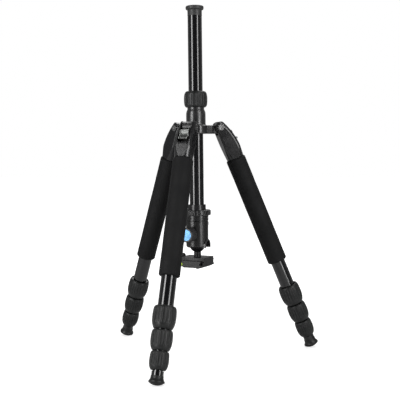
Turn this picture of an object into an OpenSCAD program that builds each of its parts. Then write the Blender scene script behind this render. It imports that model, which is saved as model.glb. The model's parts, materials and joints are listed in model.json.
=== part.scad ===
// Travel tripod: three four-section legs, a reversed centre column and a hanging ball head.
// The floor is z = 0 and the column axis is the z axis. The front leg points along -Y.
// Each leg is drawn from its pivot: x points outward and stations run down the leg axis.

/* [Stance] */
// Angle of each leg from the vertical, degrees
leg_angle = 22.4; // [21:0.1:24]
// Distance of each leg pivot from the column axis
pivot_radius = 41.5; // [40.5:0.25:43.5]
// How far the leg axis lies outside its pivot
leg_offset = 5.5; // [5:0.25:6.25]

/* [Leg tubes] */
// Outside diameter of the upper leg tube
leg_tube_d = 25; // [24.5:0.25:25.5]
// Wall of every leg tube
leg_tube_wall = 1.2; // [1:0.05:1.4]
// Running gap between a leg tube and the next one in it
slide_gap = 0.3; // [0.25:0.01:0.35]
// Bare upper tube between the foam and the first twist lock
bare_tube_len = 48.2; // [40:0.5:60]
// How much lower each inner tube starts when the leg is closed
tube_stagger = 3.5; // [2:0.25:5]

/* [Foam grips] */
// Thickness of the foam around its tube
foam_wall = 4.65; // [3.5:0.05:5.5]
// Length of the foam grip
foam_len = 197.6; // [180:1:210]
// Radius of the rounding at the ends of the foam
foam_round = 2.6; // [1.5:0.1:4]

/* [Twist locks] */
// Length of the upper twist lock
upper_lock_len = 35.4; // [33:0.1:38]
// Length of the middle twist lock
middle_lock_len = 31.4; // [29:0.1:34]
// Length of the lower twist lock
lower_lock_len = 28.2; // [26:0.1:31]
// How far the upper twist lock stands out of its tube
upper_lock_wall = 6.4; // [5.9:0.05:6.8]
// How far the middle twist lock stands out of its tube
middle_lock_wall = 6.3; // [5.9:0.05:6.7]
// How far the lower twist lock stands out of its tube
lower_lock_wall = 5.8; // [5.5:0.05:6.2]
// Gap between one twist lock and the next
lock_gap = 1.6; // [1:0.1:2.2]
// Width of the finger flutes
flute_d = 3.4; // [2.8:0.1:4]
// Depth of the finger flutes
flute_depth = 1.2; // [0.8:0.05:1.4]
// Number of finger flutes around a twist lock
flute_count = 24; // [18:1:30]
// Wall of the threaded ferrule on the end of a tube
ferrule_wall = 1.9; // [1.6:0.1:2.2]
// Length of the split clamping cone below the ferrule
cone_len = 9; // [7:0.5:9.5]
// Gap inside the thread of a twist lock
thread_gap = 0.35; // [0.3:0.05:0.45]

/* [Feet] */
// How far the rim of the rubber foot stands out of its socket
foot_rim = 3.15; // [2.5:0.05:4]
// Length of the rubber foot
foot_len = 14.3; // [13:0.1:16]
// Radius of the domed sole
sole_radius = 20; // [18:0.5:24]
// Wall of the metal socket above the foot
foot_socket_wall = 1.5; // [1.2:0.05:1.8]
// Bare length of the metal socket
foot_socket_show = 8.6; // [6:0.2:11]
// Wall of the rubber neck around the metal socket
foot_neck_wall = 0.6; // [0.5:0.05:1]
// Radius of the flare from the neck to the rim
foot_flare = 9; // [7:0.5:12]

/* [Shoulders] */
// Length of the shoulder from its pivot to the foam
shoulder_len = 59.5; // [58:0.5:64]
// Wall of the shoulder in front of its tube and behind it
shoulder_wall = 2.5; // [2.2:0.05:2.7]
// Distance from the pivot down to the fullest point of the curved front
fullness_drop = 47; // [42:0.5:52]
// Wall of the shoulder at the sides of its tube, which sets the width over the cheeks
side_wall = 1.5; // [1.25:0.05:2]
// Diameter of the rounded hub
hub_d = 20.4; // [20:0.1:21.5]
// Height of the window for the angle lock, below the pivot
window_len = 34.5; // [33.5:0.25:36]
// Radius of the corners of the fork in plan
cheek_round = 6; // [4.5:0.5:8]
// Depth of the flat on the front of the shoulder
front_flat = 0.9; // [0.5:0.1:1.3]

/* [Angle locks] */
// Width of the angle lock tab
tab_w = 15.4; // [14:0.2:17]
// Thickness of the tab
tab_t = 7.6; // [6.8:0.2:8.4]
// Gap left below the tab at the end of its travel
tab_rest = 0.7; // [0.4:0.05:1]
// How far the finger lip stands out of the tab
tab_lip = 4.5; // [3:0.1:5]
// Radius of the thumb scoop
scoop_radius = 15; // [12:0.5:20]
// Travel of the tab when it is pulled down
tab_travel = 5; // [4:0.25:5.25]

/* [Spider] */
// Width of the knuckle between the cheeks
knuckle_w = 18; // [17:0.1:18.4]
// Diameter of the knuckle
knuckle_d = 19.2; // [18.6:0.1:19.8]
// Side gap between the knuckle and each cheek
fork_gap = 0.4; // [0.3:0.05:0.5]
// Width of an arm next to the hub
arm_w = 24; // [22:0.5:26]
// Height of an arm above its pivot
arm_rise = 4.2; // [3.5:0.1:5]
// Depth of an arm below its pivot
arm_drop = 10.7; // [10:0.1:11]
// Radius of the rounded edges of an arm
arm_round = 4; // [2.5:0.25:5]
// Diameter of the disc where the arms meet
spider_disc_d = 41; // [38:0.5:44]
// Wall of the neck around the column
neck_wall = 4.55; // [4.1:0.05:5.1]
// Height of the neck above the arms
neck_h = 27.8; // [26:0.2:30]
// Height of the rounded top of the neck
neck_dome_h = 9; // [7:0.25:10]
// Radius of the rounded top of the neck
neck_dome = 15; // [14:0.25:16]
// Wall of the threaded spigot around the column
spigot_wall = 2.25; // [2.15:0.05:2.45]
// Length of the threaded spigot
spigot_len = 20; // [18:0.5:22]
// Diameter of the leg pivot bolts
bolt_d = 7; // [6:0.5:8]
// Diameter of the pivot bolt heads
bolt_head_d = 10.2; // [9.5:0.1:11]

/* [Centre column] */
// Outside diameter of the centre column
column_d = 24.3; // [24:0.1:24.6]
// Wall of the centre column
column_wall = 1.5; // [1.2:0.1:1.8]
// Length of the long column section
long_section_len = 220.7; // [200:0.1:240]
// Length of the short column section
short_section_len = 99.2; // [90:0.1:110]
// Height of the flush ring between the two sections
seam_ring_h = 2.6; // [2:0.1:4]
// Distance from the spider down to the head platform
column_drop = 121.8; // [115:0.5:130]
// Running gap between the column and what guides it
column_gap = 0.3; // [0.25:0.01:0.35]
// Wall of the nylon guide bush
bush_wall = 0.8; // [0.7:0.02:0.9]

/* [Column collar] */
// How far the column lock collar stands out of the column
collar_wall = 7.95; // [7.1:0.05:8.35]
// Height of the column lock collar
collar_h = 27.6; // [26:0.2:30]
// Gap between the neck and the collar
collar_seat_gap = 2.6; // [1.5:0.1:4]

/* [Column cap] */
// How far the end cap flange stands out of the column
cap_rim = 3.25; // [2.35:0.05:3.85]
// Thickness of the end cap flange
cap_flange_h = 6.8; // [5.5:0.1:8]
// Height of the sleeve below the flange
cap_sleeve_h = 10; // [8:0.25:12]

/* [Head platform] */
// Wall of the ring on the column
ring_wall = 3.35; // [2.6:0.05:3.85]
// Height of the ring on the column
ring_h = 9; // [8:0.1:10]
// Diameter of the fluted platform disc
disc_d = 48; // [46:0.2:49]
// Height of the platform disc
disc_h = 9.2; // [8.5:0.1:10]
// Number of flutes around the platform disc
disc_flutes = 28; // [20:1:36]

/* [Ball head] */
// Turn of the ball head on its base, degrees
head_turn = -9; // [-12:0.5:-6]
// Diameter of the ball head housing
housing_d = 38.6; // [37.5:0.1:39.5]
// Height of the ball head housing
housing_h = 46.1; // [45:0.1:48]
// Height of the panning base
pan_base_h = 9.3; // [8.5:0.1:10]
// Flat gap between the panning base and the housing
pan_gap = 0.3; // [0.25:0.05:0.5]
// Diameter of the ball
ball_d = 28; // [27:0.1:28.4]
// How far the centre of the ball lies inside the housing rim
ball_inset = 4.9; // [4.5:0.1:5.3]
// Running gap around the ball
ball_gap = 0.3; // [0.25:0.05:0.4]
// Diameter of the ball stem
stem_d = 12.5; // [11.5:0.1:13]
// Distance from the centre of the ball to the clamp
stem_reach = 21.6; // [21.4:0.1:23]
// Gap on each side of the stem in the drop notch
notch_gap = 0.7; // [0.5:0.1:1]
// How far the rim of the drop notch stands out of the housing
notch_rim = 1.4; // [1:0.1:1.6]

/* [Head knobs] */
// Height of the main knob above the centre of the ball
knob_rise = 19.5; // [18.5:0.1:20.5]
// Diameter of the main knob
knob_d = 25.6; // [24:0.2:26.5]
// Distance from the column axis to the end of the main knob
knob_reach = 42; // [40:0.5:43.5]
// Length of the main knob
knob_len = 19; // [17:0.25:20]
// Diameter of the anodised disc in the main knob
knob_disc_d = 19.4; // [18:0.1:20.5]
// Diameter of the panning lock knob
pan_knob_d = 14; // [12:0.2:15]
// Distance from the column axis to the end of the panning lock knob
pan_knob_reach = 33; // [31:0.5:35]

/* [Quick release] */
// Width of the quick-release plate across its dovetail
plate_w = 38; // [37.5:0.1:38.5]
// Length of the quick-release plate
plate_len = 52; // [48:0.5:56]
// Length of the clamp along the dovetail
clamp_len = 38; // [36:0.5:40]
// Thickness of the clamp web
clamp_web = 5; // [4.8:0.1:5.5]
// Depth of the clamp jaws below the web
jaw_depth = 6.4; // [6.2:0.1:6.8]
// Running gap in the dovetail
dovetail_gap = 0.3; // [0.25:0.05:0.4]
// Travel of the sliding jaw
jaw_travel = 5; // [4:0.25:6]
// Diameter of the clamp knob
clamp_knob_d = 16; // [14:0.2:17]
// Length of the clamp knob
clamp_knob_len = 11.5; // [10:0.25:13]
// Diameter of the bubble level
bubble_d = 8.2; // [7:0.1:9]
// Nominal diameter of the camera screw
camera_screw_d = 6.35; // [6.25:0.05:6.45]
// How far the camera screw stands out of the pad
camera_screw_show = 4.6; // [4:0.1:5.5]
// Thickness of the rubber pad on the plate
pad_t = 1.5; // [1:0.1:2]

/* [Hidden] */
$fn = 72;
legs = ["front", "right", "left"];
parts_of_leg = [
    "shoulder", "angle_lock", "tube_1", "foam_grip", "twist_lock_1", "tube_2",
    "twist_lock_2", "tube_3", "twist_lock_3", "tube_4", "foot"
];

// Overrun that takes every cut clear of the surface it opens
cut = 1;
// Bearing clearance of a pin in its hole
pin_gap = 0.08;
front_azimuth = -90;
leg_spacing = 120;

// Diameters that follow the tube they go round
foam_d = leg_tube_d + 2 * foam_wall;
shoulder_d = leg_tube_d + 2 * shoulder_wall;
cheek_span = leg_tube_d + 2 * side_wall;
neck_d = column_d + 2 * neck_wall;
spigot_d = column_d + 2 * spigot_wall;
collar_d = column_d + 2 * collar_wall;
cap_d = column_d + 2 * cap_rim;
ring_d = column_d + 2 * ring_wall;

// Twist locks from the top: lengths, and how far each stands out of its tube
lock_len = [upper_lock_len, middle_lock_len, lower_lock_len];
lock_wall = [upper_lock_wall, middle_lock_wall, lower_lock_wall];
last_lock = len(lock_len) - 1;

// Stations along a leg, measured down its axis from the pivot
arm_clear = 0.5;
fork_floor = arm_drop + arm_clear;
socket_wall = 1.5;
socket_station = window_len + socket_wall;
seat_gap = 0.3;
foam_station = shoulder_len + seat_gap;
foam_end = foam_station + foam_len;
thread_share = 0.45;
function tube_r(n) = leg_tube_d / 2 - n * (leg_tube_wall + slide_gap);
function lock_r(n) = tube_r(n) + lock_wall[n];
function lock_top(n) =
    n == 0 ? foam_end + bare_tube_len : lock_top(n - 1) + lock_len[n - 1] + lock_gap;
function lock_end(n) = lock_top(n) + lock_len[n];
function tube_top(n) = socket_station + n * tube_stagger;
function tube_end(n) =
    n <= last_lock ? lock_top(n) + thread_share * lock_len[n] : foot_station + foot_bore_depth;
foot_station = lock_end(last_lock) + foot_socket_show;
foot_socket_d = 2 * tube_r(last_lock + 1) + 2 * foot_socket_wall;
foot_d = foot_socket_d + 2 * foot_rim;
foot_bore_share = 0.45;
foot_bore_depth = foot_bore_share * foot_len;
sole_station = foot_station + foot_len - sole_radius;

// Heights above the floor
pivot_z = sole_station * cos(leg_angle) + sole_radius - leg_offset * sin(leg_angle);
arm_top_z = pivot_z + arm_rise;
arm_bottom_z = pivot_z - arm_drop;
neck_top_z = arm_top_z + neck_h;
spigot_top_z = neck_top_z + spigot_len;
collar_z = neck_top_z + collar_seat_gap;
ring_top_z = arm_bottom_z - column_drop;
disc_top_z = ring_top_z - ring_h;
disc_bottom_z = disc_top_z - disc_h;
pan_base_z = disc_bottom_z - pan_base_h;
housing_top_z = pan_base_z - pan_gap;
housing_z = housing_top_z - housing_h;
ball_z = housing_z + ball_inset;
clamp_top_z = ball_z - stem_reach;
clamp_under_z = clamp_top_z - clamp_web;
jaw_tip_z = clamp_under_z - jaw_depth;
knob_z = ball_z + knob_rise;
seam_z = ring_top_z + short_section_len;
long_tube_z = seam_z + seam_ring_h;
column_top_z = long_tube_z + long_section_len;
cap_flange_z = column_top_z + cap_sleeve_h;

function leg_azimuth(k) = front_azimuth + k * leg_spacing;

// Draws in the frame of leg k: origin at the pivot, x outward, z up along the leg
module in_leg(k) {
    rotate([0, 0, leg_azimuth(k)])
        translate([pivot_radius, 0, pivot_z])
            rotate([0, -leg_angle, 0])
                children();
}

// Draws on the axis of leg k, from a station, with z running towards the foot
module along_leg(k, station) {
    in_leg(k)
        translate([leg_offset, 0, -station])
            rotate([180, 0, 0])
                children();
}

// Draws in the frame of the ball head: x through the drop notch, -y through the main knob
module in_head() {
    rotate([0, 0, head_turn])
        children();
}

module pipe(outer_r, inner_r, len) {
    difference() {
        cylinder(r = outer_r, h = len);
        translate([0, 0, -cut])
            cylinder(r = inner_r, h = len + 2 * cut);
    }
}

// Half outline of a drum whose outer edges are rounded
module drum_outline(r, h, edge) {
    union() {
        square([r - edge, h]);
        translate([0, edge])
            square([r, h - 2 * edge]);
        for (z = [edge, h - edge])
            translate([r - edge, z])
                circle(r = edge);
    }
}

module rounded_rectangle(w, h, edge) {
    union() {
        translate([-w / 2 + edge, -h / 2])
            square([w - 2 * edge, h]);
        translate([-w / 2, -h / 2 + edge])
            square([w, h - 2 * edge]);
        for (x = [-1, 1])
            for (y = [-1, 1])
                translate([x * (w / 2 - edge), y * (h / 2 - edge)])
                    circle(r = edge);
    }
}

// Axial finger flutes around a drum of radius r
half_share = 0.5;
module flutes(r, h, count, d = flute_d) {
    for (i = [0 : count - 1])
        rotate([0, 0, (i + half_share) * 360 / count])
            translate([r + d / 2 - flute_depth, 0, -cut])
                cylinder(d = d, h = h + 2 * cut, $fn = 24);
}

// Side outline of a shoulder: round hub and straight back, open to the front
front_x = leg_offset + shoulder_d / 2;
back_inset = 0.6;
back_x = leg_offset - shoulder_d / 2 + back_inset;
// The front is one arc that leaves the hub and is fullest near the socket
hub_blend = 0.3;
blend_r = hub_d / 2 - hub_blend;
sweep_r = (front_x * front_x + fullness_drop * fullness_drop - blend_r * blend_r) / (2 * (front_x - blend_r));
front_turn = atan2(fullness_drop, sweep_r - front_x);
back_turn = 20;
join_share = 0.95;
module shoulder_side() {
    join_r = join_share * hub_d / 2;
    union() {
        circle(d = hub_d);
        polygon([
            [back_x, -shoulder_len - cut],
            [front_x + cut, -shoulder_len - cut],
            [front_x + cut, join_r * sin(front_turn)],
            [join_r * cos(front_turn), join_r * sin(front_turn)],
            [0, 0],
            [-join_r * cos(back_turn), -join_r * sin(back_turn)],
            [back_x, -hub_d / 2]
        ]);
    }
}

// Fork with its front and the round of its edges swept along the arc, eased by a cone into the
// round foot that holds the tube
ease_rise = 4;
ease_share = 0.55;
module shoulder_fork() {
    plan_back = hub_d / 2 + cut;
    plan_w = plan_back + front_x + 2 * cheek_round;
    edge_gap = 0.1;
    intersection() {
        rotate([90, 0, 0])
            linear_extrude(height = cheek_span + 2 * cut, center = true)
                shoulder_side();
        translate([front_x - sweep_r, 0, -fullness_drop])
            rotate([90, 0, 0])
                rotate_extrude($fn = 180)
                    translate([sweep_r - plan_w / 2, 0])
                        rounded_rectangle(plan_w, cheek_span, cheek_round);
        translate([plan_w / 2 - plan_back, 0, -shoulder_len])
            linear_extrude(height = shoulder_len + hub_d)
                rounded_rectangle(plan_w, cheek_span + 2 * edge_gap, cheek_round);
        translate([leg_offset, 0, 0])
            rotate_extrude()
                polygon([
                    [0, -shoulder_len],
                    [shoulder_d / 2, -shoulder_len],
                    [shoulder_d / 2 + ease_rise, -ease_share * shoulder_len],
                    [plan_w, -ease_share * shoulder_len],
                    [plan_w, hub_d],
                    [0, hub_d]
                ]);
    }
}

fork_w = knuckle_w + 2 * fork_gap;
head_recess = 1.5;
head_recess_gap = 0.3;
tab_seat = 0.3;
tab_inset = 3.8;
tab_back_x = leg_offset + tab_inset;
tab_top = -fork_floor + 2 * tab_seat;
tab_bottom = -window_len + tab_travel + tab_rest;
tab_len = tab_top - tab_bottom;
rail_depth = 1.6;
rail_t = 2.2;
rail_gap = 0.35;
tongue_t = 3.2;
tongue_w = 11;
tongue_gap = 0.35;
tongue_turn = 45;
module shoulder(k) {
    flat_top = -window_len - 2 * socket_wall;
    color([0.09, 0.09, 0.095])
        in_leg(k)
            difference() {
                shoulder_fork();
                translate([-hub_d, -fork_w / 2, -fork_floor])
                    cube([3 * hub_d, fork_w, fork_floor + hub_d]);
                translate([tab_back_x - tab_seat, -fork_w / 2, -window_len])
                    cube([shoulder_d, fork_w, window_len]);
                translate([tab_back_x - tab_seat, -fork_w / 2 - rail_depth, -window_len])
                    cube([rail_t + 2 * tab_seat, fork_w + 2 * rail_depth, window_len - fork_floor]);
                tongue_well();
                rotate([90, 0, 0])
                    cylinder(d = bolt_d + 2 * pin_gap, h = cheek_span + 2 * cut, center = true);
                for (side = [-1, 1])
                    translate([0, side * (cheek_span / 2 + cut - (head_recess + cut) / 2), 0])
                        rotate([90, 0, 0])
                            cylinder(
                                d = bolt_head_d + 2 * head_recess_gap, h = head_recess + cut, center = true
                            );
                translate([leg_offset, 0, -shoulder_len - cut])
                    cylinder(d = leg_tube_d, h = shoulder_len - socket_station + cut);
                translate([front_x - front_flat, -shoulder_d / 2, -shoulder_len + socket_wall])
                    cube([2 * front_flat, shoulder_d, shoulder_len - socket_wall + flat_top]);
            }
}

// Room behind the tab in which its tongue travels
module tongue_well() {
    well_w = tongue_w + 2 * tongue_gap + 2 * tab_seat;
    reach = knuckle_d / 2 + tongue_gap;
    well_x = reach * sin(tongue_turn) - tongue_t;
    translate([well_x, -well_w / 2, -fork_floor - tab_travel - tongue_t])
        cube([tab_back_x - well_x, well_w, tab_travel + tongue_t + cut]);
}

// Spring-loaded tab with a thumb scoop, a finger lip and the tongue that meets the knuckle
module angle_lock(k) {
    top = tab_top;
    bottom = tab_bottom;
    face = tab_back_x + tab_t;
    reach = knuckle_d / 2 + tongue_gap;
    color([0.75, 0.76, 0.77])
        in_leg(k)
            difference() {
                union() {
                    translate([0, tab_w / 2, 0])
                        rotate([90, 0, 0])
                            linear_extrude(height = tab_w)
                                polygon([
                                    [tab_back_x, bottom],
                                    [face + tab_lip - tab_seat, bottom],
                                    [face + tab_lip, bottom + rail_depth],
                                    [face + tab_lip, bottom + 2 * rail_depth],
                                    [face, bottom + 3 * rail_depth],
                                    [face, top - rail_depth],
                                    [face - rail_depth, top],
                                    [tab_back_x, top]
                                ]);
                    translate([tab_back_x, -fork_w / 2 - rail_depth + rail_gap, bottom + rail_gap])
                        cube([rail_t, fork_w + 2 * rail_depth - 2 * rail_gap, tab_len - 4 * rail_gap]);
                    rotate([0, -tongue_turn, 0])
                        translate([-tongue_t / 2, -tongue_w / 2, -reach - 2 * tongue_t])
                            cube([tongue_t, tongue_w, 2 * tongue_t]);
                }
                translate([face + scoop_radius - rail_depth, 0, bottom + tab_len / 2 + rail_depth])
                    rotate([90, 0, 0])
                        cylinder(r = scoop_radius, h = tab_w - 2 * rail_depth, center = true);
            }
}

// Tube n of a leg with the threaded ferrule on its end and the split cone that grips the next tube
module leg_tube(k, n) {
    color([0.05, 0.05, 0.055])
        along_leg(k, tube_top(n)) {
            pipe(tube_r(n), tube_r(n) - leg_tube_wall, tube_end(n) - tube_top(n));
            if (n <= last_lock) {
                translate([0, 0, lock_top(n) + lock_gap - tube_top(n)])
                    pipe(
                        tube_r(n) + ferrule_wall, tube_r(n) - leg_tube_wall / 2,
                        tube_end(n) - lock_top(n) - lock_gap
                    );
                translate([0, 0, tube_end(n) - tube_top(n) + pin_gap])
                    clamp_cone(n);
            } else {
                translate([0, 0, lock_end(last_lock) + lock_gap - tube_top(n)])
                    pipe(
                        foot_socket_d / 2,
                        tube_r(n) - leg_tube_wall / 2,
                        tube_end(n) - lock_end(last_lock) - lock_gap
                    );
            }
        }
}

cone_taper_share = 0.55;
cone_slot_share = 0.12;
module clamp_cone(n) {
    slot = cone_slot_share * leg_tube_d;
    difference() {
        cylinder(
            r1 = tube_r(n) + ferrule_wall * cone_taper_share,
            r2 = tube_r(n + 1) + slide_gap + leg_tube_wall * cone_taper_share,
            h = cone_len
        );
        translate([0, 0, -cut])
            cylinder(r = tube_r(n + 1) + slide_gap, h = cone_len + 2 * cut);
        translate([0, -slot / 2, -cut])
            cube([leg_tube_d, slot, cone_len + 2 * cut]);
    }
}

// Half outlines as shares of height and radius: a belly between eased shoulders
lock_shares = [
    [0, 0.845], [0.03, 0.9], [0.09, 0.95], [0.2, 0.98], [0.36, 0.998], [0.5, 1],
    [0.64, 0.985], [0.77, 0.945], [0.87, 0.89], [0.95, 0.82], [1, 0.75]
];
collar_shares = [
    [0, 0.8], [0.03, 0.87], [0.08, 0.925], [0.17, 0.97], [0.35, 0.995], [0.55, 1],
    [0.72, 0.985], [0.84, 0.95], [0.92, 0.9], [0.97, 0.84], [1, 0.78]
];
module barrel_outline(shares, r, h) {
    polygon(concat([[0, 0]], [for (s = shares) [s[1] * r, s[0] * h]], [[0, h]]));
}

module twist_lock(k, n) {
    thread_r = tube_r(n) + ferrule_wall + thread_gap;
    thread_end = tube_end(n) - lock_top(n);
    cone_end = thread_end + cone_len + thread_gap;
    bore_r = tube_r(n + 1) + slide_gap;
    color([0.11, 0.115, 0.115])
        along_leg(k, lock_top(n))
            difference() {
                rotate_extrude()
                    barrel_outline(lock_shares, lock_r(n), lock_len[n]);
                rotate_extrude()
                    polygon([
                        [0, -cut],
                        [thread_r, -cut],
                        [thread_r, thread_end],
                        [tube_r(n) + ferrule_wall * cone_taper_share + thread_gap, thread_end],
                        [bore_r + leg_tube_wall * cone_taper_share + thread_gap, cone_end],
                        [bore_r, cone_end],
                        [bore_r, lock_len[n] + cut],
                        [0, lock_len[n] + cut]
                    ]);
                flutes(lock_r(n), lock_len[n], flute_count);
            }
}

module foam_grip(k) {
    foam_fit = 0.1;
    color([0.035, 0.035, 0.037])
        along_leg(k, foam_station)
            rotate_extrude()
                difference() {
                    drum_outline(foam_d / 2, foam_len, foam_round);
                    translate([0, -cut])
                        square([leg_tube_d / 2 + foam_fit, foam_len + 2 * cut]);
                }
}

// Rubber foot: thin neck, flared skirt and a domed sole
module foot(k) {
    neck_r = foot_socket_d / 2 + foot_neck_wall;
    flare_share = 0.12;
    foot_fit = 0.02;
    color([0.07, 0.07, 0.07])
        along_leg(k, foot_station)
            rotate_extrude()
                difference() {
                    intersection() {
                        square([foot_d / 2, foot_len]);
                        translate([0, foot_len - sole_radius])
                            circle(r = sole_radius, $fn = 120);
                    }
                    translate([neck_r + foot_flare, flare_share * foot_len])
                        circle(r = foot_flare);
                    translate([neck_r, -cut])
                        square([foot_flare, cut + flare_share * foot_len]);
                    translate([0, -cut])
                        square([foot_socket_d / 2 + foot_fit, cut + foot_bore_depth + foot_fit]);
                }
}

// One arm with its knuckle, along +x
module spider_arm() {
    h = arm_rise + arm_drop;
    waist_share = 0.62;
    intersection() {
        translate([0, 0, arm_bottom_z + h / 2])
            rotate([90, 0, 90])
                linear_extrude(height = pivot_radius)
                    rounded_rectangle(arm_w, h, arm_round);
        translate([0, 0, arm_bottom_z - cut])
            linear_extrude(height = h + 2 * cut)
                polygon([
                    [0, -arm_w / 2],
                    [waist_share * pivot_radius, -arm_w / 2],
                    [waist_share * pivot_radius + (arm_w - knuckle_w) / 2 + arm_clear, -knuckle_w / 2],
                    [pivot_radius, -knuckle_w / 2],
                    [pivot_radius, knuckle_w / 2],
                    [waist_share * pivot_radius + (arm_w - knuckle_w) / 2 + arm_clear, knuckle_w / 2],
                    [waist_share * pivot_radius, arm_w / 2],
                    [0, arm_w / 2]
                ]);
    }
    translate([pivot_radius, knuckle_w / 2, pivot_z])
        rotate([90, 0, 0])
            cylinder(d = knuckle_d, h = knuckle_w);
}

// Steps in the rim of a knuckle that set the three leg angles
stop_angles = [22.4, 52, 80];
stop_depth = 1.3;
module knuckle_notches() {
    for (stop = stop_angles)
        translate([pivot_radius, 0, pivot_z])
            rotate([0, -stop - tongue_turn, 0])
                translate([0, 0, -knuckle_d / 2])
                    cube([tongue_t + tongue_gap, knuckle_w + 2 * cut, 2 * stop_depth], center = true);
}

module neck_outline() {
    neck_r = neck_d / 2;
    dome_z = neck_top_z - neck_dome_h;
    fillet = arm_round;
    union() {
        translate([0, arm_bottom_z])
            square([neck_r, dome_z - arm_bottom_z]);
        intersection() {
            translate([0, dome_z])
                square([neck_r, neck_dome_h]);
            translate([neck_r - neck_dome, dome_z])
                circle(r = neck_dome, $fn = 120);
        }
        translate([0, arm_bottom_z])
            drum_outline(spider_disc_d / 2, arm_rise + arm_drop, arm_round / 2);
        difference() {
            translate([0, arm_top_z - fillet])
                square([neck_r + fillet / 2, 3 * fillet / 2]);
            translate([neck_r + fillet / 2, arm_top_z + fillet / 2])
                circle(r = fillet / 2);
        }
        translate([0, neck_top_z - cut])
            square([spigot_d / 2, spigot_len + cut]);
    }
}

bush_outer_r = column_d / 2 + column_gap + bush_wall;
module spider() {
    color([0.1, 0.1, 0.105])
        difference() {
            union() {
                rotate_extrude()
                    neck_outline();
                for (k = [0 : 2])
                    rotate([0, 0, leg_azimuth(k)])
                        spider_arm();
            }
            translate([0, 0, arm_bottom_z - cut])
                cylinder(r = bush_outer_r, h = spigot_top_z - arm_bottom_z + 2 * cut);
            for (k = [0 : 2])
                rotate([0, 0, leg_azimuth(k)]) {
                    translate([pivot_radius, 0, pivot_z])
                        rotate([90, 0, 0])
                            cylinder(d = bolt_d + 2 * pin_gap, h = knuckle_w + 2 * cut, center = true);
                    knuckle_notches();
                }
        }
}

// Leg pivot bolts with a hex socket in each head
module pivot_bolts() {
    head_stand = 0.5;
    hex_d = 5;
    hex_depth = 1.2;
    seat = cheek_span / 2 - head_recess + pin_gap;
    tip = cheek_span / 2 + head_stand;
    color([0.72, 0.72, 0.73])
        for (k = [0 : 2])
            rotate([0, 0, leg_azimuth(k)])
                translate([pivot_radius, 0, pivot_z])
                    rotate([90, 0, 0])
                        difference() {
                            union() {
                                cylinder(d = bolt_d, h = 2 * seat + cut, center = true);
                                for (side = [-1, 1])
                                    translate([0, 0, side * (seat + tip) / 2])
                                        cylinder(d = bolt_head_d, h = tip - seat, center = true);
                            }
                            for (side = [-1, 1])
                                translate([0, 0, side * (tip + cut)])
                                    cylinder(d = hex_d, h = 2 * (hex_depth + cut), center = true, $fn = 6);
                        }
}

// Split nylon bush that guides the column, with the cone that the collar squeezes
bush_cone_h = 4;
module column_bush() {
    slit = 2;
    seat = 0.1;
    color([0.2, 0.2, 0.21])
        difference() {
            union() {
                translate([0, 0, arm_bottom_z])
                    cylinder(r = bush_outer_r - pin_gap, h = spigot_top_z - arm_bottom_z + seat);
                translate([0, 0, spigot_top_z + seat])
                    cylinder(r1 = spigot_d / 2, r2 = bush_outer_r, h = bush_cone_h);
            }
            translate([0, 0, arm_bottom_z - cut])
                cylinder(
                    d = column_d + 2 * column_gap, h = spigot_top_z - arm_bottom_z + bush_cone_h + 2 * cut
                );
            for (turn = [0, 120, 240])
                rotate([0, 0, turn])
                    translate([0, -slit / 2, spigot_top_z - spigot_len])
                        cube([spigot_d, slit, spigot_len + 2 * bush_cone_h]);
        }
}

collar_flutes = 18;
collar_flute_d = 5;
module column_collar() {
    thread_r = spigot_d / 2 + thread_gap;
    cone_z = spigot_top_z - collar_z;
    lip_z = cone_z + bush_cone_h + thread_gap;
    color([0.11, 0.115, 0.115])
        translate([0, 0, collar_z])
            difference() {
                rotate_extrude()
                    barrel_outline(collar_shares, collar_d / 2, collar_h);
                rotate_extrude()
                    polygon([
                        [0, -cut],
                        [thread_r, -cut],
                        [thread_r, cone_z],
                        [bush_outer_r + thread_gap, lip_z],
                        [column_d / 2 + column_gap, lip_z],
                        [column_d / 2 + column_gap, collar_h + cut],
                        [0, collar_h + cut]
                    ]);
                flutes(collar_d / 2, collar_h, collar_flutes, collar_flute_d);
            }
}

column_bore_r = column_d / 2 - column_wall;
module column_long_tube() {
    color([0.04, 0.04, 0.045])
        translate([0, 0, long_tube_z])
            pipe(column_d / 2, column_bore_r, long_section_len);
}

module column_short_tube() {
    color([0.04, 0.04, 0.045])
        translate([0, 0, ring_top_z])
            pipe(column_d / 2, column_bore_r, short_section_len);
}

// Threaded joiner with the flush ring that shows between the two sections
joiner_len = 14;
joiner_wall = 3;
module column_joiner() {
    color([0.12, 0.12, 0.125])
        translate([0, 0, seam_z - joiner_len])
            difference() {
                union() {
                    cylinder(r = column_bore_r - pin_gap, h = 2 * joiner_len + seam_ring_h);
                    translate([0, 0, joiner_len])
                        cylinder(d = column_d, h = seam_ring_h);
                }
                translate([0, 0, -cut])
                    cylinder(r = column_bore_r - joiner_wall, h = 2 * joiner_len + seam_ring_h + 2 * cut);
            }
}

cap_plug_len = 16;
cap_round = 2.4;
cap_step = 0.15;
module column_cap() {
    color([0.13, 0.13, 0.135])
        translate([0, 0, column_top_z]) {
            translate([0, 0, -cap_plug_len])
                cylinder(r = column_bore_r - pin_gap, h = cap_plug_len + cut);
            cylinder(r = column_d / 2 + cap_step, h = cap_sleeve_h);
            translate([0, 0, cap_sleeve_h])
                rotate_extrude()
                    drum_outline(cap_d / 2, cap_flange_h, cap_round);
        }
}

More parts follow.
